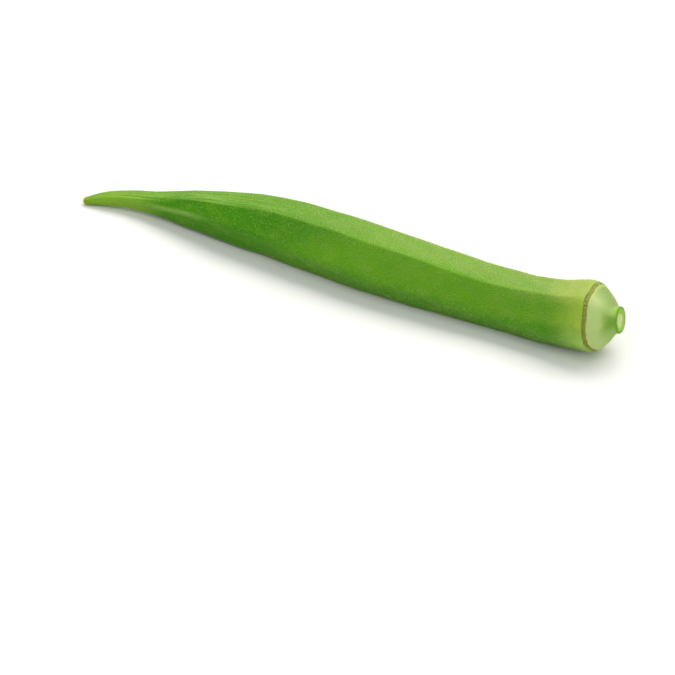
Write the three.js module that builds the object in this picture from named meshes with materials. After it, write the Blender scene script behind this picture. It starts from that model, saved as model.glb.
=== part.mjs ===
// An okra pod, picked with a short stub of its stalk and lying on its side.
// Millimetres, +Z up. The beak points to -X and the stub to +X. The origin is under the
// middle of the pod, on the surface that it rests on. It stands on three places: the tip of
// the beak, the far lower ridge at the belly and the near lower ridge at the neck.
import * as THREE from 'three';

// The pod's body at chosen places along its length. Each row holds:
// the place along X, how far the middle bows sideways along Y, the clearance under the
// lower flat side, and the distance from the middle to a ridge.
const BODY = [
  { along: -66.2, bow: 0.2, clearance: 0.0, ridge: 0.9 }, // blunt end of the beak
  { along: -62.0, bow: 1.5, clearance: 0.35, ridge: 1.55 },
  { along: -56.5, bow: 2.6, clearance: 0.7, ridge: 2.0 },
  { along: -49.5, bow: 2.8, clearance: 0.9, ridge: 2.65 }, // the beak widens into the pod
  { along: -41.0, bow: 2.6, clearance: 0.75, ridge: 4.0 },
  { along: -30.5, bow: 2.1, clearance: 0.5, ridge: 5.55 },
  { along: -18.0, bow: 1.6, clearance: 0.25, ridge: 6.7 },
  { along: -6.0, bow: 0.4, clearance: 0.08, ridge: 7.2 },
  { along: 5.0, bow: -0.8, clearance: 0.0, ridge: 7.3 }, // the belly, the thickest place
  { along: 20.0, bow: -1.8, clearance: 0.2, ridge: 6.95 },
  { along: 36.0, bow: -2.1, clearance: 0.0, ridge: 6.6 }, // the neck below the rim
  { along: 48.0, bow: -2.8, clearance: 0.55, ridge: 6.85 },
  { along: 58.5, bow: -3.5, clearance: 2.0, ridge: 7.6 }, // the rim, where the flower sat
];

// The cap beyond the rim, measured along the pod's own axis from the rim. A sharpness of 2
// is a circle, and a high one is a hexagon with crisp corners.
const CAP = [
  { beyond: 0.4, ridge: 6.75, sharpness: 20 }, // inner edge of the scar left by the flower
  { beyond: 1.2, ridge: 6.1, sharpness: 12 },
  { beyond: 2.1, ridge: 5.0, sharpness: 7 },
  { beyond: 2.9, ridge: 3.8, sharpness: 4 },
  { beyond: 3.6, ridge: 2.95, sharpness: 2.5 }, // the neck of the stalk
  { beyond: 4.9, ridge: 2.75, sharpness: 2 }, // the cut end of the stub
];

const SIDES = 6;
const POINTS_PER_SIDE = 6; // vertices around each side
const RING_SPACING = 2.2; // distance between rings along the body
const BODY_SHARPNESS = 24; // how crisp the ridges are
const SIDE_HOLLOW = 0.03; // how far the sides dish in, as a share of their distance out
const BEAK_SHARPNESS = 6; // the ridges soften towards the beak
const BEAK_END = -62; // the beak is at its softest up to here
const BEAK_START = -35; // the ridges are crisp from here on
const BEAK_TWIST = THREE.MathUtils.degToRad(2); // turn of the ridges in the beak
const RIM_TWIST = THREE.MathUtils.degToRad(-7); // and at the rim
const TWIST_START = -20; // the ridges run straight up to here
const TIP_LENGTH = 0.9; // length of the rounded tip beyond the last row of the beak
const TIP_RINGS = 3; // rings across the rounded tip
const AROUND = SIDES * POINTS_PER_SIDE;
const UP = new THREE.Vector3(0, 0, 1);

// A smooth curve through one column of the rows, read at any place along the pod.
function along(rows, column, place) {
  const last = rows.length - 1;
  const slope = (i) => {
    const before = rows[Math.max(i - 1, 0)];
    const after = rows[Math.min(i + 1, last)];
    return (after[column] - before[column]) / (after.along - before.along);
  };
  let i = 0;
  while (i < last - 1 && place > rows[i + 1].along) i += 1;
  const span = rows[i + 1].along - rows[i].along;
  const t = (place - rows[i].along) / span;
  const rise = t * t * (3 - 2 * t);
  const leave = t * (1 - t) * (1 - t) * span * slope(i);
  const arrive = t * t * (t - 1) * span * slope(i + 1);
  return rows[i][column] * (1 - rise) + rows[i + 1][column] * rise + leave + arrive;
}

// Distance to the section's outline at an angle from a ridge, for a ridge at distance 1.
// The softer the ridges, the less the sides dish in.
function outline(angle, sharpness) {
  const side = (2 * Math.PI) / SIDES;
  const reach = (turn) => {
    let sum = 0;
    for (let k = 0; k < SIDES; k += 1) {
      sum += Math.max(Math.cos(turn - (k + 0.5) * side), 0) ** sharpness;
    }
    return sum ** (-1 / sharpness);
  };
  const crispness = Math.min(sharpness / BODY_SHARPNESS, 1) ** 2;
  const dish = SIDE_HOLLOW * crispness * (1 - Math.cos(SIDES * angle)) / 2;
  return (reach(angle) / reach(0)) * (1 - dish);
}

function bodySharpness(place) {
  const share = THREE.MathUtils.smoothstep(place, BEAK_END, BEAK_START);
  return THREE.MathUtils.lerp(BEAK_SHARPNESS, BODY_SHARPNESS, share);
}

function twistAt(place) {
  const share = Math.max(place - TWIST_START, 0) / (rimPlace() - TWIST_START);
  return THREE.MathUtils.lerp(BEAK_TWIST, RIM_TWIST, share * share);
}

function rimPlace() {
  return BODY[BODY.length - 1].along;
}

// How far down an untwisted section reaches below its middle, for a ridge at distance 1.
function depth(sharpness) {
  let lowest = 0;
  for (let i = 0; i < AROUND; i += 1) {
    const angle = (i / AROUND) * 2 * Math.PI;
    lowest = Math.max(lowest, outline(angle, sharpness) * Math.sin(angle));
  }
  return lowest;
}

// The middle of the section: high enough for the lower side to clear the ground as stated.
function middle(place) {
  const below = along(BODY, 'ridge', place) * depth(bodySharpness(place));
  const height = below + along(BODY, 'clearance', place);
  return new THREE.Vector3(place, along(BODY, 'bow', place), height);
}

// The two directions across the pod at a place: towards -Y and towards +Z, square to it.
function crossFrame(place) {
  const step = 0.05;
  const from = Math.max(place - step, BODY[0].along);
  const to = Math.min(place + step, rimPlace());
  const axis = middle(to).sub(middle(from)).normalize();
  const side = axis.clone().cross(UP).normalize();
  const top = side.clone().cross(axis);
  return { axis, side, top };
}

// One ring of vertices around a centre.
function ring(centre, frame, ridge, sharpness, twist) {
  const points = [];
  for (let i = 0; i < AROUND; i += 1) {
    const angle = (i / AROUND) * 2 * Math.PI;
    const radius = ridge * outline(angle, sharpness);
    const point = centre.clone();
    point.addScaledVector(frame.side, radius * Math.cos(angle + twist));
    point.addScaledVector(frame.top, radius * Math.sin(angle + twist));
    points.push(point);
  }
  return points;
}

function tipRings() {
  const start = BODY[0].along;
  const frame = crossFrame(start);
  const rings = [];
  for (let i = TIP_RINGS - 1; i > 0; i -= 1) {
    const turn = (i / TIP_RINGS) * (Math.PI / 2);
    const centre = middle(start).addScaledVector(frame.axis, -TIP_LENGTH * Math.sin(turn));
    rings.push(ring(centre, frame, BODY[0].ridge * Math.cos(turn), BEAK_SHARPNESS, BEAK_TWIST));
  }
  return rings;
}

function bodyRings() {
  const start = BODY[0].along;
  const length = rimPlace() - start;
  const count = Math.round(length / RING_SPACING);
  const rings = [];
  for (let i = 0; i <= count; i += 1) {
    const place = start + (length * i) / count;
    const ridge = along(BODY, 'ridge', place);
    const sharpness = bodySharpness(place);
    rings.push(ring(middle(place), crossFrame(place), ridge, sharpness, twistAt(place)));
  }
  return rings;
}

function capRings() {
  const rim = rimPlace();
  const frame = crossFrame(rim);
  return CAP.map((row) => {
    const centre = middle(rim).addScaledVector(frame.axis, row.beyond);
    return ring(centre, frame, row.ridge, row.sharpness, twistAt(rim));
  });
}

// A closed surface over the rings, with a point closing each end.
function loft(first, rings, last) {
  const points = [first, ...rings.flat(), last];
  const end = points.length - 1;
  const at = (row, i) => 1 + row * AROUND + (i % AROUND);
  const faces = [];
  for (let i = 0; i < AROUND; i += 1) {
    faces.push(0, at(0, i), at(0, i + 1));
    faces.push(end, at(rings.length - 1, i + 1), at(rings.length - 1, i));
  }
  for (let row = 0; row < rings.length - 1; row += 1) {
    for (let i = 0; i < AROUND; i += 1) {
      faces.push(at(row, i), at(row + 1, i), at(row + 1, i + 1));
      faces.push(at(row, i), at(row + 1, i + 1), at(row, i + 1));
    }
  }
  const geometry = new THREE.BufferGeometry().setFromPoints(points);
  geometry.setIndex(faces);
  geometry.computeVertexNormals();
  return geometry;
}

function okraPod() {
  const start = BODY[0].along;
  const tip = middle(start).addScaledVector(crossFrame(start).axis, -TIP_LENGTH);
  const rim = rimPlace();
  const stub = CAP[CAP.length - 1].beyond;
  const cutEnd = middle(rim).addScaledVector(crossFrame(rim).axis, stub);
  const geometry = loft(tip, [...tipRings(), ...bodyRings(), ...capRings()], cutEnd);
  const skin = new THREE.MeshStandardMaterial({ color: 0x6a9c38, roughness: 0.6, metalness: 0 });
  const pod = new THREE.Mesh(geometry, skin);
  pod.name = 'okra_pod';
  return pod;
}

// Moves the pod so that the origin is under its middle, on the ground.
function settle(pod) {
  const box = new THREE.Box3().setFromObject(pod);
  const centre = box.getCenter(new THREE.Vector3());
  pod.position.set(-centre.x, -centre.y, -box.min.z);
  return pod;
}

const object = new THREE.Group();
object.add(settle(okraPod()));

export default object;
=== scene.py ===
import math

import bpy
import numpy as np
from mathutils import Matrix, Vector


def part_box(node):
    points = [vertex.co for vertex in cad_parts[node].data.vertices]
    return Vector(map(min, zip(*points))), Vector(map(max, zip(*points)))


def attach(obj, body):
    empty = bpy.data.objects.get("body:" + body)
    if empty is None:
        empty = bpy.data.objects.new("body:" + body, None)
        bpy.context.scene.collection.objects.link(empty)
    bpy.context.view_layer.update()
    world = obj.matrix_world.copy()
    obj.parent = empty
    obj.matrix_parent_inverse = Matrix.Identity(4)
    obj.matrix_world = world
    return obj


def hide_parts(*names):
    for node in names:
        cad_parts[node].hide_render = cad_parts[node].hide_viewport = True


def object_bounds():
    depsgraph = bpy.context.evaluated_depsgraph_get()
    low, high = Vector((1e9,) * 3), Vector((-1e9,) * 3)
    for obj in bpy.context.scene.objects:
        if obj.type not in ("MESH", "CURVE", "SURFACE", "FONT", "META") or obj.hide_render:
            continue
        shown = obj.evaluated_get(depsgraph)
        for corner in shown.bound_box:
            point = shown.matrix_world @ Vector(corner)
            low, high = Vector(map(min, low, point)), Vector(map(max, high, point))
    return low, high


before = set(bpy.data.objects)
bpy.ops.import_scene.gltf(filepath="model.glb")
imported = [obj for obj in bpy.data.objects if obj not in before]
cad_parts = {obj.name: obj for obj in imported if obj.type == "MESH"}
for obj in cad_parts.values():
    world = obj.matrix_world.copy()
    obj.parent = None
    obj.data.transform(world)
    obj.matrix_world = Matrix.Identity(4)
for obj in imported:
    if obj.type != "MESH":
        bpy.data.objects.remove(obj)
CAD_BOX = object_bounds()

# An okra pod lying on a pale floor: one fine skin mesh, and meshes of short hairs on it.
# Lengths are in millimetres, apart from the studio's, which are in metres as Blender's are.
# Three of them run along the pod:
#   place   along X, in the frame of the BODY rows
#   beyond  past the rim, along the axis there, or before the first row where it is negative
#   along   from the tip of the beak, over both
# An angle round the pod is 0 towards -Y, the near side, and grows upwards.
MM = 0.001
NODE = "okra_pod"
BODY_NAME = "root"

# ---------------------------------------------------------------- the camera's place
# It looks down on the pod. The aim point shows at the aim pixel of the picture.
IMAGE_SIZE = 675
FOCAL_PIXELS = 2600
SENSOR_MM = 36
CAMERA_DISTANCE = 560
CAMERA_ELEVATION = math.radians(34.5)
CAMERA_AZIMUTH = math.radians(26.3)
CAMERA_RANGE = (0.01, 50)  # the nearest and furthest that it sees, in metres
AIM = (0.0, 0.0, 6.5)
AIM_PIXEL = (349.9, 250.1)

# ---------------------------------------------------------------- the studio
# Soft light panels: the place, the size, the power in watts and the tint.
PANELS = {
    "top_key": ((0.08, 0.36, 0.72), (1.1, 0.6), 6.9, (1.0, 0.985, 0.93)),
    "front_softbox": ((-0.05, -0.42, 0.62), (0.9, 0.6), 2.25, (1.0, 0.99, 0.96)),
    "end_light": ((0.75, -0.1, 0.35), (0.4, 0.4), 0.8, (1.0, 0.99, 0.95)),
}
WHITE = (1.0, 1.0, 1.0, 1.0)
SKY_STRENGTH = 0.45
FLOOR_SIZE = 40
FLOOR_GREY = (0.8, 0.8, 0.8, 1.0)
FLOOR_GLOW = 0.6  # a faint glow far from the pod keeps the floor pale in low views
FLOOR_GLOW_SPAN = (0.3, 1.1)  # the distances from the pod over which it sets in

# ---------------------------------------------------------------- the pod's dimensions
# The same rows as the CAD source's: the place, how far the middle bows sideways, the
# clearance under the lower side, and the distance from the middle to a ridge.
PLACE, BOW, CLEARANCE, RIDGE = range(4)
BODY = np.array([
    (-66.2, 0.2, 0.0, 0.9),  # blunt end of the beak
    (-62.0, 1.5, 0.35, 1.55),
    (-56.5, 2.6, 0.7, 2.0),
    (-49.5, 2.8, 0.9, 2.65),  # the beak widens into the pod
    (-41.0, 2.6, 0.75, 4.0),
    (-30.5, 2.1, 0.5, 5.55),
    (-18.0, 1.6, 0.25, 6.7),
    (-6.0, 0.4, 0.08, 7.2),
    (5.0, -0.8, 0.0, 7.3),  # the belly
    (20.0, -1.8, 0.2, 6.95),
    (36.0, -2.1, 0.0, 6.6),  # the neck below the rim
    (48.0, -2.8, 0.55, 6.85),
    (58.5, -3.5, 2.0, 7.6),  # the rim
])
START = BODY[0, PLACE]
RIM = BODY[-1, PLACE]
TIP_LENGTH = 0.9  # the rounded tip before the first row
RIM_ALONG = RIM - START + TIP_LENGTH
SIDES = 6
SIDE = 2 * math.pi / SIDES
BEAK_TWIST = math.radians(2)
RIM_TWIST = math.radians(-7)
TWIST_START = -20

# The CAD node's section, which also sets how high the middle lies. A sharpness of 2 makes a
# circle, and the higher it is the crisper the ridges are.
CAD_STUB = (4.9, 2.75)  # how far beyond the rim it ends, and its radius
CAD_HOLLOW = 0.03  # how far the sides dish in, as a share of their distance out
CAD_SHARPNESS = (6, 24)  # in the beak and on the body
CAD_BEAK_SPAN = (-62, -35)  # the places between which the one turns into the other
CAD_POINTS_PER_SIDE = 6
CAD_RING_SPACING = 2.2
CAD_FIT = 0.05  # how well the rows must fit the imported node

# The skin's section.
SKIN_SHARPNESS = (6, 42)  # in the beak and on the body
SKIN_BEAK_SPAN = (-64, -44)
SKIN_BULGE = 0.008  # how far the sides bulge, as a share of their distance out
RIM_SHARPNESS = 9
RIM_SPAN = (51, 58.5)  # the places between which the ridges soften to it
SHOULDER_LENGTH = 2.4  # the rounded shoulder below the rim
SHOULDER_DROP = 0.53
SHOULDER_POWER = 2.3

# The skin beyond the rim: the distance beyond it, the ridge distance, the sharpness, how far
# the sides dish in, and how far the middle sags below the pod's axis.
END = np.array([
    (0.0, 7.07, 9, 0.0, 0.0),
    (0.2, 6.94, 9, 0.0, 0.02),
    (0.42, 6.76, 9, 0.0, 0.04),
    (0.58, 6.6, 9, 0.0, 0.06),  # inner edge of the scar
    (0.72, 6.57, 9, 0.0, 0.08),  # lip of the cap
    (0.95, 6.43, 9, 0.01, 0.11),
    (1.35, 6.06, 8.5, 0.015, 0.17),
    (1.95, 5.46, 8, 0.02, 0.27),
    (2.5, 4.83, 7, 0.03, 0.34),
    (3.0, 4.15, 6, 0.035, 0.38),
    (3.5, 3.47, 5, 0.03, 0.39),
    (3.95, 3.03, 4, 0.02, 0.3),  # neck of the stalk
    (4.35, 2.86, 3, 0.01, 0.16),
    (4.75, 2.8, 2.5, 0.0, 0.06),
    (5.05, 2.78, 2.2, 0.0, 0.02),
    (5.2, 2.76, 2, 0.0, 0.0),
    (5.28, 2.62, 2, 0.0, 0.0),  # edge of the cut
    (5.26, 2.4, 2, 0.0, 0.0),
    (5.2, 1.9, 2, 0.0, 0.0),
    (5.17, 1.3, 2, 0.0, 0.0),
    (5.2, 0.6, 2, 0.0, 0.0),
    (5.22, 0.1, 2, 0.0, 0.0),  # middle of the cut
])
SCAR_START = -0.36  # the scar left by the flower, as distances past the rim
SCAR_END = 0.58
CUT_START = 5.1  # the cut lies beyond this
CUT_EDGE = 2.66  # and within this radius
CUT_SLANT = 0.108  # the near side of the stub is longer by this share of its radius
SLANT_SPAN = (3.9, 5.1)  # the distances beyond the rim over which the slant sets in

# The skin's mesh.
POINTS_PER_SIDE = 34
COLUMN_CROWDING = 0.5  # how much the columns crowd together at the ridges
TIP_RINGS = 12
BODY_SPACING = 0.36
SHOULDER_RINGS = 22
END_SPACING = 0.1
TIP_POINT = 0.02  # how far the tip's last point stands out
FLOOR_GAP = 0.005  # nothing comes nearer to the floor


def smooth(low, high, value):
    share = np.clip((value - low) / (high - low), 0, 1)
    return share * share * (3 - 2 * share)


def mix(low, high, share):
    return low + (high - low) * share


def curve(rows, column, place):
    """A smooth curve through one column of the rows, against their first column."""
    x, y = rows[:, 0], rows[:, column]
    rise = np.concatenate([y[1:2] - y[:1], y[2:] - y[:-2], y[-1:] - y[-2:-1]])
    run = np.concatenate([x[1:2] - x[:1], x[2:] - x[:-2], x[-1:] - x[-2:-1]])
    slope = rise / run
    i = np.clip(np.searchsorted(x, place, side="right") - 1, 0, len(x) - 2)
    span = x[i + 1] - x[i]
    t = (place - x[i]) / span
    leave = t * (1 - t) ** 2 * span * slope[i]
    arrive = t * t * (t - 1) * span * slope[i + 1]
    return mix(y[i], y[i + 1], t * t * (3 - 2 * t)) + leave + arrive


def unit(vectors):
    return vectors / np.linalg.norm(vectors, axis=-1, keepdims=True)


def outline(angle, ridges, sharpness):
    """Distance to the outline whose ridges are at the given angles and at distance 1."""
    total = 0
    for near, far in zip(ridges[:-1], ridges[1:]):
        facing = np.maximum(np.cos(angle - (near + far) / 2), 0)
        total = total + (facing / np.cos((far - near) / 2)) ** sharpness
    return (total / 2) ** (-1 / sharpness)


def cad_section(sharpness, twist):
    """The CAD section's angles and reach at each ring, for a ridge at distance 1."""
    count = SIDES * CAD_POINTS_PER_SIDE
    angle = np.arange(count) / CAD_POINTS_PER_SIDE * SIDE
    share = np.arange(count) / CAD_POINTS_PER_SIDE % 1
    ridges = [k * SIDE for k in range(SIDES + 1)]
    sharpness = np.asarray(sharpness, float)[..., None]
    crispness = np.minimum(sharpness / CAD_SHARPNESS[1], 1) ** 2
    dish = CAD_HOLLOW * crispness * np.sin(math.pi * share) ** 2
    reach = outline(angle, ridges, sharpness) * (1 - dish)
    return angle + np.asarray(twist)[..., None], reach


def cad_sharpness(place):
    return mix(*CAD_SHARPNESS, smooth(*CAD_BEAK_SPAN, place))


def middle(place):
    """The middle of the section at each place: it clears the ground as the rows state."""
    angle, reach = cad_section(cad_sharpness(place), 0)
    below = curve(BODY, RIDGE, place) * (reach * np.sin(angle)).max(axis=-1)
    height = below + curve(BODY, CLEARANCE, place)
    return np.stack([place, curve(BODY, BOW, place), height], axis=-1)


def cross_frame(place):
    """The pod's axis, and the two directions across it: towards -Y and towards +Z."""
    step = 0.05
    axis = middle(np.minimum(place + step, RIM)) - middle(np.maximum(place - step, START))
    axis = unit(axis)
    across = unit(np.cross(axis, [0, 0, 1]))
    return axis, across, np.cross(across, axis)


def twist_at(place):
    share = np.clip((place - TWIST_START) / (RIM - TWIST_START), 0, 1)
    return mix(BEAK_TWIST, RIM_TWIST, share * share)


def lay_rings(place, beyond, angle, radius):
    """Points at an angle and radius round the pod's axis, in rings at each place."""
    axis, across, up = cross_frame(place)
    centre = middle(place) + axis * beyond[:, None]
    out = np.cos(angle)[..., None] * across[:, None] + np.sin(angle)[..., None] * up[:, None]
    return centre[:, None] + radius[..., None] * out


def shift_to_cad():
    """The move from the rows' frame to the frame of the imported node, in millimetres."""
    count = round((RIM - START) / CAD_RING_SPACING)
    place = np.append(np.linspace(START, RIM, count + 1), RIM)
    ridge = np.append(curve(BODY, RIDGE, place[:-1]), CAD_STUB[1])
    sharpness = np.append(cad_sharpness(place[:-1]), 2.0)
    beyond = np.zeros(len(place))
    beyond[-1] = CAD_STUB[0]
    angle, reach = cad_section(sharpness, twist_at(place))
    points = lay_rings(place, beyond, angle, reach * ridge[:, None]).reshape(-1, 3)
    tip = middle(np.array([START])) - cross_frame(np.array([START]))[0] * TIP_LENGTH
    points = np.concatenate([points, tip])
    low, high = (np.array(corner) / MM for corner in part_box(NODE))
    shift = low - points.min(axis=0)
    error = np.abs(points.max(axis=0) + shift - high).max()
    if error > CAD_FIT:
        raise ValueError(f"the rows differ from the packed node by {error:.3f} mm")
    return shift


SHIFT = shift_to_cad()


# ---------------------------------------------------------------- the camera and lights
def view_axes():
    """The directions to the camera, to the right of the picture and up it."""
    level = math.cos(CAMERA_ELEVATION)
    back = np.array([
        math.sin(CAMERA_AZIMUTH) * level,
        -math.cos(CAMERA_AZIMUTH) * level,
        math.sin(CAMERA_ELEVATION),
    ])
    right = np.array([math.cos(CAMERA_AZIMUTH), math.sin(CAMERA_AZIMUTH), 0])
    return back, right, np.cross(back, right)


def make_camera():
    back, right, up = view_axes()
    across, down = (np.array(AIM_PIXEL) - IMAGE_SIZE / 2) * CAMERA_DISTANCE / FOCAL_PIXELS
    place = np.array(AIM) + SHIFT + back * CAMERA_DISTANCE - right * across + up * down
    data = bpy.data.cameras.new("camera")
    data.sensor_width = SENSOR_MM
    data.lens = SENSOR_MM * FOCAL_PIXELS / IMAGE_SIZE
    data.clip_start, data.clip_end = CAMERA_RANGE
    camera = bpy.data.objects.new("camera", data)
    turn = Matrix(np.column_stack([right, up, back]).tolist())
    camera.matrix_world = Matrix.Translation((place * MM).tolist()) @ turn.to_4x4()
    bpy.context.scene.collection.objects.link(camera)
    bpy.context.scene.camera = camera


def make_panel(name, place, size, power, tint):
    """A rectangular soft light at a place, in metres, aimed at the pod."""
    data = bpy.data.lights.new(name, "AREA")
    data.shape = "RECTANGLE"
    data.size, data.size_y = size
    data.energy = power
    data.color = tint
    light = bpy.data.objects.new(name, data)
    back = unit(np.array(place, float))
    right = unit(np.cross([0.0, 1.0, 0.001], back))
    turn = Matrix(np.column_stack([right, np.cross(back, right), back]).tolist())
    light.matrix_world = Matrix.Translation(place) @ turn.to_4x4()
    bpy.context.scene.collection.objects.link(light)


def make_sky():
    world = bpy.data.worlds.new("studio")
    world.use_nodes = True
    sky = world.node_tree.nodes["Background"]
    sky.inputs["Color"].default_value = WHITE
    sky.inputs["Strength"].default_value = SKY_STRENGTH
    bpy.context.scene.world = world


make_camera()
for panel, settings in PANELS.items():
    make_panel(panel, *settings)
make_sky()
bpy.context.scene.view_settings.view_transform = "Standard"


# ---------------------------------------------------------------- the skin's shape
def waves(count, lengths, turns, seed):
    """A smooth random field: waves along the pod, in mm, that close up around it."""
    rng = np.random.default_rng(seed)
    length = rng.uniform(*lengths, count)
    around = rng.integers(turns[0], turns[1] + 1, count)
    start = rng.uniform(0, 2 * math.pi, count)

    def field(along, turn):
        total = 0
        for k in range(count):
            total = total + np.sin(2 * math.pi * along / length[k] + around[k] * turn + start[k])
        return total / math.sqrt(count / 2)

    return field


SWELL = waves(12, (11, 45), (0, 4), 3)
SWELL_HEIGHT = 0.04
PUCKER = waves(14, (4, 11), (3, 11), 4)
PUCKER_HEIGHT = 0.012
FULL_RELIEF = 5  # where a ridge is nearer to the middle than this, both shrink with it

RIDGE_LINE = waves(10, (18, 60), (0, 5), 5)
RIDGE_WANDER = math.radians(0.4)

# A bead runs along each ridge but the near lower one.
BEAD_UNEVENNESS = waves(10, (6, 26), (0, 5), 6)
BEAD_HEIGHT = (0.03, 0.02)  # its mean, and how much that varies
BEAD_WIDTH = 0.3
BEAD_RISE = (14, 30)  # it comes over this stretch along the pod
BEAD_FADE = (108, 120)  # and goes over this one

SCAR_FIBRES = waves(26, (0.5, 2.2), (14, 60), 7)
FIBRE_HEIGHT = 0.045
FIBRE_SQUEEZE = 1.6  # the fibres are this much finer along the pod

BEAK_RIBS = waves(9, (60, 140), (11, 23), 8)
RIB_HEIGHT = 0.025
RIB_RISE = (3, 12)
RIB_FADE = (26, 48)

CUT_GRAIN = waves(20, (0.4, 1.25), (3, 30), 9)  # the waves run out from the cut's middle
CUT_GRAIN_HEIGHT = 0.03
CUT_GRAIN_RISE = (0.1, 1.4)  # the radii over which it sets in

# The crest is a low fin on the near lower ridge, where the beak widens.
CREST_HEIGHT = 0.1
CREST_WIDTHS = (0.4, 1.0)  # above the ridge and below it
CREST_RISE = (13, 21)
CREST_FADE = (27, 37)

# The near lower ridge is higher in the beak and lower by the rim than the CAD node's. The
# near upper ridge is lower towards the tip and higher by the rim. Spans are places.
LOWER_LIFT = math.radians(16.5)
LOWER_LIFT_FADE = (-34, -6)
LOWER_DROP = math.radians(8)
LOWER_DROP_RISE = (38, 50)
LOWER_DROP_EASING = 0.4  # the share of the drop that is lost again at the rim
LOWER_DROP_EASE = (53, 58)
UPPER_DROP = math.radians(25)
UPPER_DROP_FADE = (-60, -34)
UPPER_LIFT = math.radians(6.5)
UPPER_LIFT_RISE = (33, 50)
NEAR_SIDE_FULLNESS = 0.036  # the wide near side bulges by this share where that lift is full
NEAR_SIDE_SHARPNESS = (2, 8)  # the sharpness at which that starts, and where it is full
LOWER_SOFTNESS = 0.6  # the near lower ridge loses this share of its sharpness
FAR_SOFTNESS = 0.5  # and the far upper one this share
SOFTNESS_FOCUS = 8  # how closely that keeps to the ridge
LEAST_SHARPNESS = 2  # no ridge is rounder than a circle

# The skin's zones round the scar. Their spans are distances past the rim, and their edges
# wander a little.
ZONE_EDGE = waves(12, (3, 9), (5, 30), 10)
ZONE_WANDER = 0.03
SCAR_FADE_IN = (SCAR_START - 0.25, SCAR_START + 0.15)
CAP_FADE_IN = (SCAR_END - 0.07, SCAR_END + 0.07)
BODY_FADE_OUT = (SCAR_START - 0.6, SCAR_START)

# The sides on which light and shade are painted into the skin's colour.
PAINTED_LIGHT_ANGLE = math.radians(107)  # painted light and sheen make the skin palest towards this angle
PAINTED_LIGHT_TURN = math.radians(12)  # less this by the rim
PAINTED_LIGHT_TURN_SPAN = (101, 110)  # the stretch along the pod over which it turns
PAINTED_LIGHT_REACH = (0.6, 0.94)  # the cosine of the turn from there where it starts, and is full
PAINTED_SHADE_ANGLE = math.radians(-45)  # painted shade makes the skin deepest green towards this angle
PAINTED_SHADE_REACH = (0.45, 0.95)


def ridge_angles(place):
    """The angle of each ridge in each ring, with the first one again at the end."""
    angles = []
    for k in range(SIDES):
        angles.append(k * SIDE + twist_at(place) + RIDGE_WANDER * RIDGE_LINE(place, k * SIDE))
    drop = LOWER_DROP * smooth(*LOWER_DROP_RISE, place)
    drop = drop * (1 - LOWER_DROP_EASING * smooth(*LOWER_DROP_EASE, place))
    angles[0] = angles[0] + LOWER_LIFT * (1 - smooth(*LOWER_LIFT_FADE, place)) - drop
    angles[1] = angles[1] - UPPER_DROP * (1 - smooth(*UPPER_DROP_FADE, place))
    angles[1] = angles[1] + UPPER_LIFT * smooth(*UPPER_LIFT_RISE, place)
    angles.append(angles[0] + 2 * math.pi)
    return [angle[:, None] for angle in angles]


def tip_rows():
    """Rings over the rounded tip: place, distance beyond it and ridge distance."""
    turn = np.linspace(math.pi / 2, 0, TIP_RINGS + 1)[1:-1]
    return np.full(len(turn), START), -TIP_LENGTH * np.sin(turn), BODY[0, RIDGE] * np.cos(turn)


def body_rows():
    """Rings along the body, with a rounded shoulder at the rim."""
    shoulder = RIM - SHOULDER_LENGTH
    count = round((shoulder - START) / BODY_SPACING)
    place = np.concatenate([
        np.linspace(START, shoulder, count + 1)[:-1],
        np.linspace(shoulder, RIM, SHOULDER_RINGS + 1)[:-1],
    ])
    near_rim = np.clip(1 - (RIM - place) / SHOULDER_LENGTH, 0, 1)
    drop = SHOULDER_DROP * near_rim**SHOULDER_POWER
    return place, np.zeros(len(place)), curve(BODY, RIDGE, place) - drop


def end_rows():
    """Rings over the scar, the cap and the stub, evenly spaced along their outline."""
    run = np.concatenate([[0], np.cumsum(np.hypot(np.diff(END[:, 0]), np.diff(END[:, 1])))])
    at = np.linspace(0, run[-1], round(run[-1] / END_SPACING) + 1)
    rows = np.column_stack([run, END])
    return [curve(rows, column, at) for column in range(1, rows.shape[1])]


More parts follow.
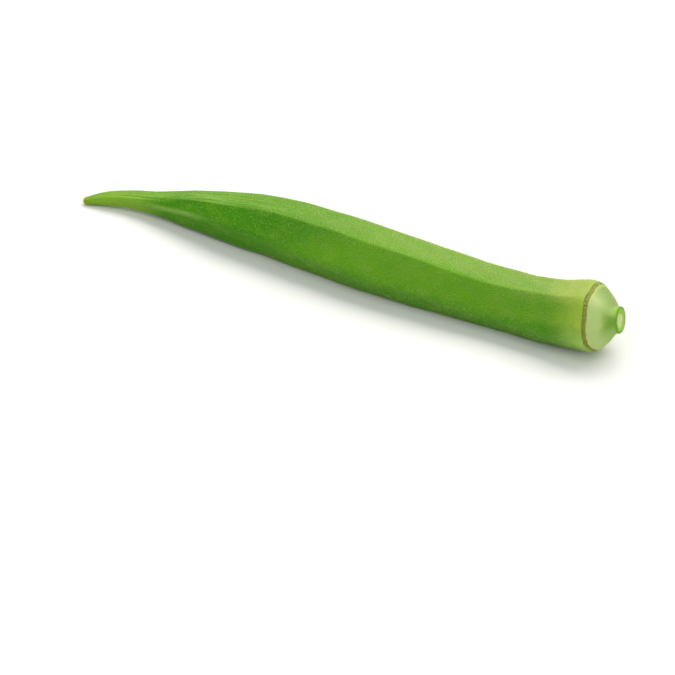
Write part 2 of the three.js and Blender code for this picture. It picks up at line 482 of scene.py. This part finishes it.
class Skin:
    """The skin's points, in rings of columns, and what is known about each of them."""

    def __init__(self):
        self.lay_rows()
        self.lay_columns()
        self.mark_zones()
        self.add_relief()
        self.place_points()

    def lay_rows(self):
        """What is the same all round each ring."""
        beyond, ridge, sharpness, hollow, sag = end_rows()
        end = slice(-len(beyond), None)
        rows = zip(tip_rows(), body_rows(), (np.full(len(beyond), RIM), beyond, ridge))
        self.place, self.beyond, self.ridge = (np.concatenate(parts) for parts in rows)
        body_sharpness = mix(*SKIN_SHARPNESS, smooth(*SKIN_BEAK_SPAN, self.place))
        self.sharpness = mix(body_sharpness, RIM_SHARPNESS, smooth(*RIM_SPAN, self.place))
        self.sharpness[end] = sharpness
        self.hollow = -SKIN_BULGE * (self.sharpness / SKIN_SHARPNESS[1]) ** 2
        self.hollow[end] = hollow
        self.sag = np.zeros(len(self.place))
        self.sag[end] = sag
        self.is_cut = np.zeros((len(self.place), 1), bool)
        self.is_cut[end] = ((beyond > CUT_START) & (ridge < CUT_EDGE))[:, None]

    def lay_columns(self):
        """The angle and radius of each point: the columns crowd together at the ridges."""
        t = np.arange(POINTS_PER_SIDE) / POINTS_PER_SIDE
        crowded = t - COLUMN_CROWDING * np.sin(2 * math.pi * t) / (2 * math.pi)
        share = np.tile(crowded, SIDES)
        side = np.repeat(np.arange(SIDES), POINTS_PER_SIDE)
        self.ridges = ridge_angles(self.place)
        starts = np.concatenate(self.ridges, axis=1)
        width = starts[:, side + 1] - starts[:, side]
        self.angle = starts[:, side] + width * share
        self.gap = np.minimum(share, 1 - share) * width * self.ridge[:, None]
        hollow = self.hollow[:, None] - self.near_side_fullness()[:, None] * (side == 0)
        reach = outline(self.angle, self.ridges, self.softened_sharpness())
        reach *= 1 - hollow * np.sin(math.pi * share) ** 2
        self.radius = reach * self.ridge[:, None]
        along = self.place - START + TIP_LENGTH + self.beyond
        self.along = np.repeat(along[:, None], len(share), axis=1)

    def near_side_fullness(self):
        by_rim = smooth(*UPPER_LIFT_RISE, self.place)
        return NEAR_SIDE_FULLNESS * by_rim * smooth(*NEAR_SIDE_SHARPNESS, self.sharpness)

    def softened_sharpness(self):
        """The sharpness at each point: two of the ridges are rounder than the others."""
        self.on_lower = np.maximum(np.cos(self.angle - self.ridges[0]), 0) ** SOFTNESS_FOCUS
        on_far = np.maximum(np.cos(self.angle - self.ridges[2]), 0) ** SOFTNESS_FOCUS
        softness = LOWER_SOFTNESS * self.on_lower + FAR_SOFTNESS * on_far
        return np.maximum(self.sharpness[:, None] * (1 - softness), LEAST_SHARPNESS)

    def mark_zones(self):
        """How much each point belongs to the body, the scar, the cap, and the two sides where light
        and shade are painted.
        """
        self.past_rim = self.along - RIM_ALONG + ZONE_WANDER * ZONE_EDGE(self.along, self.angle)
        self.cap = smooth(*CAP_FADE_IN, self.past_rim)
        self.scar = smooth(*SCAR_FADE_IN, self.past_rim) * (1 - self.cap)
        self.body = 1 - smooth(*BODY_FADE_OUT, self.past_rim)
        # the upper side takes painted light, and the lower side takes painted shade
        light_angle = PAINTED_LIGHT_ANGLE - PAINTED_LIGHT_TURN * smooth(*PAINTED_LIGHT_TURN_SPAN, self.along)
        self.painted_light_side = smooth(*PAINTED_LIGHT_REACH, np.cos(self.angle - light_angle))
        self.painted_shade_side = smooth(*PAINTED_SHADE_REACH, np.cos(self.angle - PAINTED_SHADE_ANGLE))

    def add_relief(self):
        """Swellings, puckers, a bead along each ridge, the crest, the ribs and the fibres."""
        swell = SWELL_HEIGHT * SWELL(self.along, self.angle)
        pucker = PUCKER_HEIGHT * PUCKER(self.along, self.angle)
        relief = np.minimum(self.ridge / FULL_RELIEF, 1)[:, None] * (swell + pucker)
        mean, variation = BEAD_HEIGHT
        self.bead = self.bead_shape()
        relief += self.bead * (mean + variation * BEAD_UNEVENNESS(self.along, self.angle))
        self.crest = self.crest_shape()
        relief += CREST_HEIGHT * self.crest
        ribs = smooth(*RIB_RISE, self.along) * (1 - smooth(*RIB_FADE, self.along))
        relief += RIB_HEIGHT * ribs * BEAK_RIBS(self.along, self.angle)
        self.radius += relief * self.body
        fibres = SCAR_FIBRES(self.past_rim * FIBRE_SQUEEZE, self.angle)
        self.radius += FIBRE_HEIGHT * self.scar * fibres

    def bead_shape(self):
        stretch = smooth(*BEAD_RISE, self.along) * (1 - smooth(*BEAD_FADE, self.along))
        bead = np.exp(-((self.gap / BEAD_WIDTH) ** 2))
        return bead * stretch * self.body * (1 - self.on_lower)

    def crest_shape(self):
        stretch = smooth(*CREST_RISE, self.along) * (1 - smooth(*CREST_FADE, self.along))
        turn = self.angle - self.ridges[0]
        turn = np.where(turn < math.pi, turn, self.angle - self.ridges[-1])
        above = turn * self.ridge[:, None]
        width = np.where(above > 0, *CREST_WIDTHS)
        return np.exp(-((above / width) ** 2)) * stretch

    def place_points(self):
        """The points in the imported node's frame, with the stub's slanted and grainy cut."""
        points = lay_rings(self.place, self.beyond, self.angle, self.radius)
        axis, _, up = (part[:, None] for part in cross_frame(self.place))
        rough = CUT_GRAIN_HEIGHT * self.is_cut * smooth(*CUT_GRAIN_RISE, self.radius)
        grain = rough * CUT_GRAIN(self.radius, self.angle)
        slant = CUT_SLANT * smooth(*SLANT_SPAN, self.beyond)[:, None]
        forward = grain + slant * self.radius * np.cos(self.angle)
        points = points + axis * forward[..., None] - up * self.sag[:, None, None] + SHIFT
        points[..., 2] = np.maximum(points[..., 2], FLOOR_GAP)
        self.points = points


# ---------------------------------------------------------------- meshes
BAKE_UV = "OFBake"


def add_mesh(name, points, faces, uv, facts, material):
    """A smooth-shaded mesh from points in mm, with bake UVs and named point attributes."""
    mesh = bpy.data.meshes.new(name)
    mesh.from_pydata((points * MM).tolist(), [], [face.tolist() for face in faces])
    mesh.shade_smooth()
    layer = mesh.uv_layers.new(name=BAKE_UV)
    layer.data.foreach_set("uv", np.asarray(uv, np.float32).ravel())
    for label, values in facts.items():
        kind = "FLOAT_VECTOR" if values.ndim == 2 else "FLOAT"
        key = "vector" if values.ndim == 2 else "value"
        attribute = mesh.attributes.new(label, kind, "POINT")
        attribute.data.foreach_set(key, np.asarray(values, np.float32).ravel())
    mesh.materials.append(material)
    piece = bpy.data.objects.new(name, mesh)
    bpy.context.scene.collection.objects.link(piece)
    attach(piece, BODY_NAME)
    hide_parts(NODE)


def skin_faces(rings, around):
    """Quads between the rings, and a fan of triangles closing each end."""
    i = np.arange(around)
    following = (i + 1) % around
    row = np.arange(rings - 1)[:, None] * around + 1
    near, far = row, row + around
    quads = np.stack([near + i, far + i, far + following, near + following], axis=-1)
    last = 1 + (rings - 1) * around
    first_fan = np.stack([np.zeros(around, int), 1 + i, 1 + following], axis=-1)
    last_fan = np.stack([np.full(around, rings * around + 1), last + following, last + i], axis=-1)
    return [*quads.reshape(-1, 4), *first_fan, *last_fan]


def skin_uv(rings, around):
    """Bake coordinates for the same faces: along the pod, and around it."""
    u = (np.arange(rings) + 1) / (rings + 1)
    v = np.arange(around + 1) / around
    left, right = np.repeat(u[:-1], around), np.repeat(u[1:], around)
    low, high = np.tile(v[:-1], rings - 1), np.tile(v[1:], rings - 1)
    quads = np.stack([left, low, right, low, right, high, left, high], axis=-1)
    zero, one = np.zeros(around), np.ones(around)
    near, far = np.full(around, u[0]), np.full(around, u[-1])
    first = np.stack([zero, v[:-1], near, v[:-1], near, v[1:]], axis=-1)
    last = np.stack([one, v[1:], far, v[1:], far, v[:-1]], axis=-1)
    return np.concatenate([part.ravel() for part in (quads, first, last)])


def with_ends(values):
    """The rings' values in one row, and each end ring's mean for the point closing it."""
    rings = values.reshape(*values.shape[:2], -1)
    first, last = rings[:1].mean(axis=1), rings[-1:].mean(axis=1)
    joined = np.concatenate([first, rings.reshape(-1, rings.shape[2]), last])
    return joined[:, 0] if values.ndim == 2 else joined


def make_skin(skin, material):
    """The skin mesh. Its colours follow the facts, which are stored at its points."""
    across = skin.radius * np.cos(skin.angle)
    up = skin.radius * np.sin(skin.angle)
    facts = {
        "straight": np.stack([skin.along, across, up], axis=-1),
        "past_rim": skin.past_rim,
        "ridge": skin.bead,
        "crest": skin.crest,
        "painted_light_side": skin.painted_light_side,
        "painted_shade_side": skin.painted_shade_side,
        "scar": skin.scar,
        "cap": skin.cap,
        "cut": skin.is_cut * np.ones_like(skin.angle),
    }
    facts = {label: with_ends(values) for label, values in facts.items()}
    points = with_ends(skin.points)
    points[0] -= TIP_POINT * cross_frame(skin.place[:1])[0][0]
    rings, around = skin.angle.shape
    faces = skin_faces(rings, around)
    add_mesh("pod_skin_surface", points, faces, skin_uv(rings, around), facts, material)


# ---------------------------------------------------------------- fuzz
# Each layer of hairs: how many, the random seed, and the usual length and thickness.
HAIR_LAYERS = {
    "pod_fuzz_a": (49000, 21, 0.22, 0.038),
    "pod_fuzz_b": (49000, 22, 0.22, 0.038),
    "pod_fuzz_long": (2600, 23, 0.32, 0.07),
}
CAP_BALDNESS = 0.75  # the share of the hairs that the cap lacks
SCAR_BALDNESS = 0.5
HAIR_PATCHINESS = 0.12
BEAK_HAIR = 0.15  # how thickly hairs grow in the beak, next to the body's 1
BEAK_HAIR_SPAN = (30, 90)
UNDER_HAIR = 0.15  # and on the underside
UNDER_HAIR_SPAN = (-0.5, 0.6)  # the upward parts of the normal over which that changes
HAIR_LENGTH_SPREAD = 0.35
HAIR_LENGTH_LIMITS = (0.4, 1.9)
HAIR_WIDTH_LIMITS = (0.7, 1.3)
HAIR_LEAN = 0.24
HAIR_SWEEP = -0.15  # the hairs lean a little towards the beak
HAIR_ROOT_DEPTH = 0.03
HAIR_OVERHANG = 0.35  # how far hairs may stand out of the CAD node's box
HAIR_ENDS = (0.02, 0.98)  # the bake coordinate of a hair's root and of its point


def hair_density(skin, upward):
    """How thickly hairs grow in each patch of the skin, whose upward facing is given."""
    density = 1 - CAP_BALDNESS * skin.cap - SCAR_BALDNESS * skin.scar
    density = density * (1 - skin.is_cut)
    density = density * (1 + HAIR_PATCHINESS * PUCKER(skin.along, skin.angle))
    density = density * mix(BEAK_HAIR, 1, smooth(*BEAK_HAIR_SPAN, skin.along))
    density = density[:-1] * mix(UNDER_HAIR, 1, smooth(*UNDER_HAIR_SPAN, upward))
    return np.maximum(density, 0)


def hair_roots(skin, count, rng):
    """Random points on the skin, with the outward normal and the way along the pod there."""
    p = skin.points
    following = np.roll(np.arange(p.shape[1]), -1)
    a, b, c, d = p[:-1], p[1:], p[1:][:, following], p[:-1][:, following]
    normal = np.cross(c - a, d - b)
    area = np.linalg.norm(normal, axis=-1) / 2
    weight = (area * hair_density(skin, unit(normal)[..., 2])).ravel()
    cell = rng.choice(len(weight), count, p=weight / weight.sum())
    s, t = rng.random((2, count, 1))
    corners = [corner.reshape(-1, 3)[cell] for corner in (a, b, c, d)]
    low = mix(corners[0], corners[1], s)
    high = mix(corners[3], corners[2], s)
    outward = unit(normal.reshape(-1, 3)[cell])
    along = unit(corners[1] - corners[0])
    return mix(low, high, t), outward, along


def hair_points(skin, count, length, thickness, rng):
    """Four points for each hair: three round its root and one at its end."""
    root, outward, along = hair_roots(skin, count, rng)
    spread = np.exp(HAIR_LENGTH_SPREAD * rng.standard_normal((count, 1)))
    length = length * np.clip(spread, *HAIR_LENGTH_LIMITS)
    lean = rng.normal(0, HAIR_LEAN, (count, 2))
    around = np.cross(outward, along)
    aim = unit(outward + along * (lean[:, :1] + HAIR_SWEEP) + around * lean[:, 1:])
    width = thickness / 2 * rng.uniform(*HAIR_WIDTH_LIMITS, (count, 1))
    spin = rng.uniform(0, 2 * math.pi, (count, 1))
    base = root - HAIR_ROOT_DEPTH * outward
    corners = []
    for k in range(3):
        turn = spin + k * 2 * math.pi / 3
        corners.append(base + width * (np.cos(turn) * along + np.sin(turn) * around))
    points = np.stack([*corners, root + length * aim], axis=1)
    low, high = (np.array(corner) / MM for corner in CAD_BOX)
    return np.clip(points, [*(low[:2] - HAIR_OVERHANG), FLOOR_GAP], high + HAIR_OVERHANG)


def make_fuzz(name, skin, count, seed, length, thickness, material):
    """Fine hairs on the skin, each one a slim closed spike with three sides."""
    rng = np.random.default_rng(seed)
    points = hair_points(skin, count, length, thickness, rng)
    spike = np.array([(0, 1, 3), (1, 2, 3), (2, 0, 3), (2, 1, 0)])
    faces = (4 * np.arange(count)[:, None, None] + spike).reshape(-1, 3)
    tint = np.repeat(rng.random(count), spike.size)
    height = np.tile(np.where(spike.ravel() == 3, HAIR_ENDS[1], HAIR_ENDS[0]), count)
    uv = np.stack([tint, height], axis=-1)
    add_mesh(name, points.reshape(-1, 3), faces, uv, {}, material)


# ---------------------------------------------------------------- materials
def colour(red, green, blue):
    """A colour given from 0 to 255 as a screen shows it, in the linear form nodes take."""
    def linear(value):
        share = value / 255
        return share / 12.92 if share <= 0.04045 else ((share + 0.055) / 1.055) ** 2.4
    return (linear(red), linear(green), linear(blue), 1.0)


GREEN = colour(88, 152, 8)
DEEP_GREEN = colour(60, 130, 8)
# painted light and sheen: the top side's paler green
PAINTED_LIGHT_GREEN = colour(118, 162, 60)
# painted shade: the lower side's deeper green
PAINTED_SHADE_GREEN = colour(50, 123, 4)
YELLOW_GREEN = colour(132, 172, 46)
BEAK_GREEN = colour(120, 164, 46)
RIM_GREEN = colour(162, 193, 60)
# painted light: the rim's colour on the top side
RIM_PAINTED_LIGHT = colour(172, 192, 90)
RIM_SPECK = colour(156, 158, 52)
# painted sheen: the rim's greyer colour on the lower side
RIM_PAINTED_SHEEN = colour(164, 202, 96)
# painted highlight along the crest
CREST_HIGHLIGHT = colour(122, 166, 70)
TIP_OLIVE = colour(122, 156, 16)
RIDGE_GREEN = colour(124, 170, 60)
LINE_PALE = colour(136, 178, 80)
DOT_GREEN = colour(138, 176, 78)
FLECK_BROWN = colour(112, 108, 44)
SCAR_OLIVE = colour(130, 138, 60)
SCAR_DARK = colour(88, 98, 36)
SCAR_LIGHT = colour(192, 202, 124)
CAP_PALE = colour(168, 192, 118)
# greener towards the neck: partly real colour, partly painted shade in the neck's hollow
CAP_GREEN_AND_SHADE = colour(120, 160, 62)
# painted highlight on the cap's upper corner by the scar
CAP_HIGHLIGHT = colour(206, 204, 160)
# painted shade: the cap's darker far side
CAP_PAINTED_SHADE = colour(132, 158, 92)
NECK_PALE = colour(156, 188, 88)
CUT_GREEN = colour(142, 180, 80)
STUB_GREEN = colour(100, 150, 36)
PITH = colour(182, 200, 132)
HAIR_PALE = colour(234, 240, 180)
HAIR_DULL = colour(204, 220, 145)
HAIR_GREEN = colour(160, 192, 70)

# Stretches along the pod over which a colour comes or goes.
TIP_END = (0.6, 3.0)
BEAK_GREEN_END = (11.0, 22.5)
BEAK_PAINTED_LIGHT_END = (18.0, 34.0)
DEEP_GREEN_END = (44.0, 62.0)
DEEP_GREEN_LAG = 16.0  # and on top it reaches this much further
PAINTED_LIGHT_SPAN = (66.0, 98.0)
RIM_GREEN_START = (119.0, 130.5)
RIM_GREEN_WANDER = 6.0  # how much nearer to the tip it starts in places
RIM_GREEN_LIGHT_LEAD = 4.5  # and on the side where light is painted
LINES_START = (5.0, 14.0)
LINES_END = (36.0, 58.0)
LINES_SPREAD = (14.0, 32.0)  # up to here the lines run further round the beak
LINES_UPWARD = (0.76, 0.9)  # how squarely the skin faces up where they start and are full

# Stretches past the rim.
SCAR_OUTER_EDGE = (SCAR_START - 0.05, SCAR_START + 0.2)
SCAR_INNER_EDGE = (SCAR_END - 0.26, SCAR_END - 0.08)
CAP_EDGE = (SCAR_END, SCAR_END + 0.5)
CAP_GREEN_START = (2.6, 4.5)
NECK_START = (4.4, 5.0)
STUB_START = (4.8, 5.15)

# Spots: how far along the pod, towards the near side and up from its axis they are, and the
# distances from there over which they fade. The pith and the rim of the cut are seen end on.
CAP_HIGHLIGHT_PLACE = (126.7, 2.7, 5.6)
CAP_HIGHLIGHT_EDGE = (0.9, 2.6)
PITH_PLACE = (0.0, 0.45, 0.1)
PITH_EDGE = (1.6, 2.0)
CUT_RIM = (2.2, 2.5)  # from the axis

FALLING = (1.0, 0.0)  # the ends of a ramp that goes down
SKIN_BUMP = 0.035  # the depth of the finest relief


class Nodes:
    """Short calls for building one material's node tree."""

    def __init__(self, name):
        self.material = bpy.data.materials.new(name)
        self.material.use_nodes = True
        self.tree = self.material.node_tree
        self.shader = self.tree.nodes["Principled BSDF"]

    def set(self, socket, value):
        if isinstance(value, bpy.types.NodeSocket):
            self.tree.links.new(value, socket)
        else:
            socket.default_value = value

    def add(self, kind, inputs, **settings):
        node = self.tree.nodes.new("ShaderNode" + kind)
        for name, value in settings.items():
            setattr(node, name, value)
        for name, value in inputs.items():
            self.set(node.inputs[name], value)
        return node

    def vector(self, operation, a, b=(0.0, 0.0, 0.0)):
        return self.add("VectorMath", {0: a, 1: b}, operation=operation)

    def stretch(self, vector, scale):
        return self.vector("MULTIPLY", vector, scale).outputs[0]

    def distance(self, a, b):
        return self.vector("DISTANCE", a, b).outputs["Value"]

    def length(self, vector):
        return self.vector("LENGTH", vector).outputs["Value"]

    def noise(self, vector, detail=2.0, rough=0.5, warp=0.0):
        inputs = {"Vector": vector, "Scale": 1.0, "Detail": detail}
        inputs |= {"Roughness": rough, "Distortion": warp}
        return self.add("TexNoise", inputs).outputs["Fac"]

    def ramp(self, value, span, ends=(0.0, 1.0)):
        """A smooth step from one end to the other, as the value crosses the span."""
        inputs = {"Value": value, "From Min": span[0], "From Max": span[1]}
        inputs |= {"To Min": ends[0], "To Max": ends[1]}
        return self.add("MapRange", inputs, interpolation_type="SMOOTHSTEP").outputs[0]

    def times(self, a, b):
        return self.add("Math", {0: a, 1: b}, operation="MULTIPLY").outputs[0]

    def plus(self, a, b):
        return self.add("Math", {0: a, 1: b}, operation="ADD").outputs[0]

    def blend(self, share, a, b):
        """Colour a, turning into colour b as share goes from 0 to 1."""
        factor, first, second = 0, 6, 7  # a Mix node's inputs for colours
        inputs = {factor: share, first: a, second: b}
        return self.add("Mix", inputs, data_type="RGBA").outputs[2]

    def finish(self, **values):
        """Sets the shader's inputs, which are named with _ for each space."""
        for name, value in values.items():
            self.set(self.shader.inputs[name.replace("_", " ")], value)
        return self.material


class SkinNodes(Nodes):
    """Nodes for the skin, with the facts that its points hold.

    The fact named straight is how far along the pod the point is, and then how far towards
    the near side and up from the pod's axis.
    """

    def __init__(self, name):
        super().__init__(name)
        self.straight = self.add("Attribute", {}, attribute_name="straight").outputs["Vector"]
        self.past_rim = self.fact("past_rim")
        self.painted_light_side = self.fact("painted_light_side")
        self.painted_shade_side = self.fact("painted_shade_side")
        apart = self.add("SeparateXYZ", {0: self.straight})
        self.along = apart.outputs[0]
        across = self.add("CombineXYZ", {0: 0.0, 1: apart.outputs[1], 2: apart.outputs[2]})
        self.across = across.outputs[0]
        self.outward = self.vector("NORMALIZE", self.across).outputs[0]
        outward = self.add("SeparateXYZ", {0: self.outward})
        self.facing_near = outward.outputs[1]
        self.facing_up = outward.outputs[2]

    def fact(self, name):
        return self.add("Attribute", {}, attribute_name=name).outputs["Fac"]

    def grain(self, scale, **settings):
        """Noise over the skin, with about scale waves to the millimetre each way."""
        return self.noise(self.stretch(self.straight, scale), **settings)

    def dots(self, scale):
        """The nearest of the random points over the skin, about scale to the millimetre."""
        return self.add("TexVoronoi", {"Vector": self.stretch(self.straight, scale), "Scale": 1.0})


def ground_green(n):
    """The skin's green: deeper towards the beak, with painted shade below and painted light and
    sheen on the top side.
    """
    deep = n.ramp(n.plus(n.along, n.times(n.facing_up, -DEEP_GREEN_LAG)), DEEP_GREEN_END)
    body = n.blend(deep, DEEP_GREEN, GREEN)
    # painted shade on the lower side
    body = n.blend(n.times(n.painted_shade_side, 0.8), body, PAINTED_SHADE_GREEN)
    body = n.blend(n.ramp(n.along, BEAK_GREEN_END, FALLING), body, BEAK_GREEN)
    # painted light and sheen on the top side, stronger towards the rim and a little in the beak
    pale = n.plus(n.ramp(n.along, PAINTED_LIGHT_SPAN, (0.55, 1.0)), n.ramp(n.along, BEAK_PAINTED_LIGHT_END, (0.2, 0.0)))
    return n.blend(n.times(n.painted_light_side, pale), body, PAINTED_LIGHT_GREEN)


def add_rim_green(n, body):
    """Yellower and finely speckled skin by the rim, with painted light on the top side and painted
    sheen on the lower side.
    """
    wander = n.times(n.grain((0.25, 0.3, 0.3)), RIM_GREEN_WANDER)
    # the rim's colour reaches further on the side where light is painted
    lead = n.plus(wander, n.times(n.painted_light_side, RIM_GREEN_LIGHT_LEAD))
    near_rim = n.ramp(n.plus(n.along, lead), RIM_GREEN_START)
    # painted light on the top side, and painted sheen on the lower side
    rim = n.blend(n.painted_shade_side, n.blend(n.painted_light_side, RIM_GREEN, RIM_PAINTED_LIGHT), RIM_PAINTED_SHEEN)
    body = n.blend(n.times(near_rim, 0.9), body, rim)
    speckle = n.grain((1.5, 1.5, 1.5), detail=3.0, rough=0.7)
    speckle = n.ramp(speckle, (0.54, 0.68), (0.0, 0.45))
    return n.blend(n.times(near_rim, speckle), body, RIM_SPECK)


def add_mottling(n, body):
    """Soft cloudy patches, and a paler line along the ridges."""
    mottle = n.grain((0.22, 0.35, 0.35), detail=4.0, rough=0.65)
    body = n.blend(n.ramp(mottle, (0.45, 0.7), (0.0, 0.22)), body, YELLOW_GREEN)
    body = n.blend(n.ramp(mottle, (0.3, 0.5), (0.2, 0.0)), body, DEEP_GREEN)
    return n.blend(n.times(n.fact("ridge"), 0.3), body, RIDGE_GREEN)


def add_beak_lines(n, body):
    """Fine pale and dark lines along the top of the beak, and a painted highlight along the crest.
    """
    along = n.stretch(n.straight, (0.05, 0.0, 0.0))
    around = n.stretch(n.outward, (0.0, 10.0, 10.0))
    line = n.noise(n.vector("ADD", along, around).outputs[0], rough=0.6)
    spread = n.ramp(n.along, LINES_SPREAD, (0.25, 0.0))
    on_top = n.ramp(n.plus(n.facing_up, spread), LINES_UPWARD)
    in_beak = n.times(n.ramp(n.along, LINES_START), n.ramp(n.along, LINES_END, (1.0, 0.1)))
    near_side = n.ramp(n.facing_near, (-0.35, 0.15), (0.4, 1.0))
    strength = n.times(n.times(in_beak, on_top), near_side)
    pale = n.times(strength, n.ramp(line, (0.52, 0.62), (0.0, 0.6)))
    dark = n.times(strength, n.ramp(line, (0.38, 0.48), (0.9, 0.0)))
    body = n.blend(pale, body, LINE_PALE)
    body = n.blend(dark, body, DEEP_GREEN)
    # a painted highlight along the crest
    return n.blend(n.times(n.fact("crest"), 0.8), body, CREST_HIGHLIGHT)


def add_specks(n, body):
    """Small pale dots, a few brown flecks, and the dry olive end of the beak."""
    dot = n.dots((0.75, 1.1, 1.1))
    pale = n.ramp(dot.outputs["Distance"], (0.1, 0.2), FALLING)
    chance = n.add("SeparateColor", {0: dot.outputs["Color"]}).outputs[0]
    about_half = n.ramp(chance, (0.45, 0.5))
    body = n.blend(n.times(n.times(pale, about_half), 0.6), body, DOT_GREEN)
    fleck = n.dots((0.2, 0.2, 0.2)).outputs["Distance"]
    body = n.blend(n.ramp(fleck, (0.04, 0.08), (0.6, 0.0)), body, FLECK_BROWN)
    return n.blend(n.ramp(n.along, TIP_END, (0.85, 0.0)), body, TIP_OLIVE)


def scar_colour(n, fibre):
    """Dry fibres, darker at the scar's outer edge and paler at its inner one, with a little painted
    light on the top side.
    """
    scar = n.blend(n.ramp(fibre, (0.36, 0.56)), SCAR_DARK, SCAR_OLIVE)
    scar = n.blend(n.ramp(fibre, (0.54, 0.68), (0.0, 0.7)), scar, SCAR_LIGHT)
    # a little painted light on the top side
    scar = n.blend(n.times(n.painted_light_side, 0.08), scar, SCAR_LIGHT)
    scar = n.blend(n.ramp(n.past_rim, SCAR_INNER_EDGE), scar, SCAR_LIGHT)
    return n.blend(n.ramp(n.past_rim, SCAR_OUTER_EDGE, (0.6, 0.0)), scar, SCAR_DARK)


def cap_colour(n):
    """A pale cap: greener inwards, partly real colour and partly painted shade in the neck's
    hollow, with painted shade on the far side, a painted highlight and a pale edge.
    """
    cloud = n.grain((0.5, 0.4, 0.4), detail=3.0)
    inward = n.ramp(n.plus(n.past_rim, n.times(cloud, 1.2)), CAP_GREEN_START)
    # strongest on the near side below the top, as painted shade in the neck's hollow
    inward = n.times(inward, n.ramp(n.facing_up, (0.55, 0.95), (1.0, 0.35)))
    inward = n.times(inward, n.ramp(n.facing_up, (-0.4, 0.2), (0.55, 1.0)))
    cap = n.blend(inward, CAP_PALE, CAP_GREEN_AND_SHADE)
    # painted shade on the cap's far side
    cap = n.blend(n.ramp(n.facing_near, (-0.5, 0.5), FALLING), cap, CAP_PAINTED_SHADE)
    neck = n.ramp(n.plus(n.past_rim, cloud), NECK_START)
    cap = n.blend(n.times(neck, n.ramp(n.facing_up, (0.6, 0.95))), cap, NECK_PALE)
    cap = n.blend(n.ramp(n.past_rim, CAP_EDGE, (0.35, 0.0)), cap, PITH)
    # a painted highlight on the cap's upper corner
    from_highlight = n.plus(n.distance(n.straight, CAP_HIGHLIGHT_PLACE), cloud)
    cap = n.blend(n.ramp(from_highlight, CAP_HIGHLIGHT_EDGE, (0.38, 0.0)), cap, CAP_HIGHLIGHT)
    return n.blend(n.ramp(n.past_rim, STUB_START), cap, STUB_GREEN)


def cut_colour(n):
    """The cut end: green flesh with a deeper rim, round a pale pith."""
    cut = n.blend(n.ramp(n.length(n.across), CUT_RIM), CUT_GREEN, STUB_GREEN)
    ragged = n.times(n.grain((1.0, 1.6, 1.6), detail=3.0), 0.5)
    from_pith = n.plus(n.distance(n.across, PITH_PLACE), ragged)
    return n.blend(n.ramp(from_pith, PITH_EDGE, FALLING), cut, PITH)


def skin_colour(n):
    """The body's colour, then the scar, the cap and the cut end over it."""
    body = ground_green(n)
    for add_layer in (add_rim_green, add_mottling, add_beak_lines, add_specks):
        body = add_layer(n, body)
    fibre = n.grain((4.5, 2.0, 2.0), detail=4.0, rough=0.7, warp=0.3)
    ragged = n.plus(n.fact("scar"), n.times(n.plus(fibre, -0.5), 1.3))
    base = n.blend(n.ramp(ragged, (0.3, 0.7)), body, scar_colour(n, fibre))
    base = n.blend(n.fact("cap"), base, cap_colour(n))
    return n.blend(n.fact("cut"), base, cut_colour(n))


def skin_material():
    n = SkinNodes("pod_skin")
    fine = n.grain((3.5, 5.0, 5.0), detail=3.0, rough=0.6)
    lines = n.grain((0.5, 6.0, 6.0))
    relief = {"Height": n.plus(fine, lines), "Distance": SKIN_BUMP * MM, "Strength": 1.0}
    return n.finish(
        Base_Color=skin_colour(n), Normal=n.add("Bump", relief).outputs[0],
        Roughness=0.5, IOR=1.4, Specular_IOR_Level=0.05,
        Sheen_Weight=0.12, Sheen_Roughness=0.5, Sheen_Tint=(1.0, 1.0, 0.35, 1.0),
        Subsurface_Weight=0.12, Subsurface_Radius=(0.5, 1.0, 0.25), Subsurface_Scale=1.2 * MM,
    )


def hair_material():
    """Pale hairs, greener at the root. The bake UVs hold each hair's tint and height."""
    n = Nodes("pod_hair")
    uv = n.add("UVMap", {}, uv_map=BAKE_UV).outputs[0]
    parts = n.add("SeparateXYZ", {0: uv})
    hair = n.blend(parts.outputs[0], HAIR_PALE, HAIR_DULL)
    base = n.blend(n.ramp(parts.outputs[1], (0.0, 0.6)), HAIR_GREEN, hair)
    return n.finish(Base_Color=base, Roughness=0.5, Specular_IOR_Level=0.3)


def make_floor():
    bpy.ops.mesh.primitive_plane_add(size=FLOOR_SIZE)
    floor = bpy.context.active_object
    floor.name = "floor"
    n = Nodes("floor")
    away = n.length(n.add("TexCoord", {}).outputs["Object"])
    floor.data.materials.append(n.finish(
        Base_Color=FLOOR_GREY, Roughness=0.8, Emission_Color=WHITE,
        Emission_Strength=n.ramp(away, FLOOR_GLOW_SPAN, (0.0, FLOOR_GLOW)),
    ))


# ---------------------------------------------------------------- putting it together
pod = Skin()
make_skin(pod, skin_material())
fuzz = hair_material()
for name, (count, seed, length, thickness) in HAIR_LAYERS.items():
    make_fuzz(name, pod, count, seed, length, thickness, fuzz)
make_floor()
